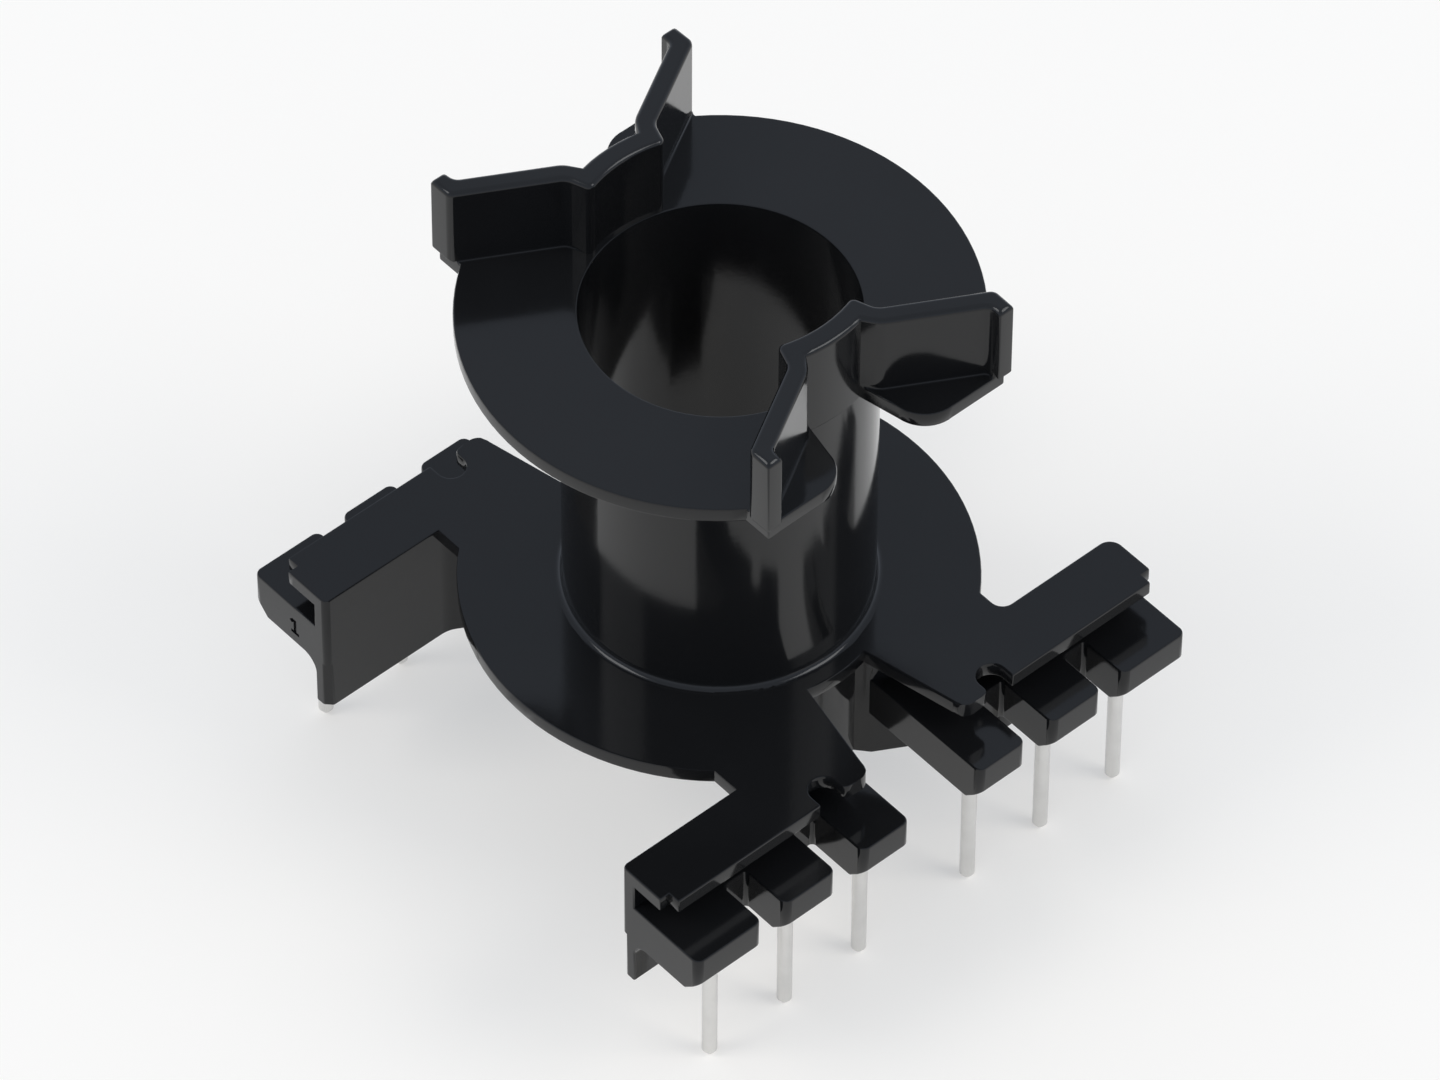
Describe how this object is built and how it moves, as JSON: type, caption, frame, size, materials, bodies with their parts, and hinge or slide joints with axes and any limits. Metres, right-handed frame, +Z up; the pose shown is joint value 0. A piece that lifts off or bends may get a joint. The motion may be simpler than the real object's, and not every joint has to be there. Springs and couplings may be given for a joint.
{
  "type": "transformer bobbin",
  "caption": "Vertical through-hole coil former with a round winding tube between two flanges, splayed core walls and pinned terminal blocks.",
  "frame": {"origin": "middle of the bounding box at the tips of the pins, on the axis of the winding tube", "axes": "+Z up along the axis of the winding tube, away from the circuit board; +Y along the two pin rows, away from the end that carries the numeral; +X across the rows"},
  "size_m": [0.0346, 0.0334, 0.0384],
  "materials": {
    "moulding": "gloss",
    "tinned_wire": "satin"
  },
  "bodies": {
    "root": {"bobbin_body": "moulding", "pin_1": "tinned_wire", "pin_2": "tinned_wire", "pin_3": "tinned_wire", "pin_4": "tinned_wire", "pin_5": "tinned_wire", "pin_6": "tinned_wire", "pin_7": "tinned_wire", "pin_8": "tinned_wire", "pin_9": "tinned_wire", "pin_10": "tinned_wire", "pin_11": "tinned_wire", "pin_12": "tinned_wire"}
  },
  "joints": []
}
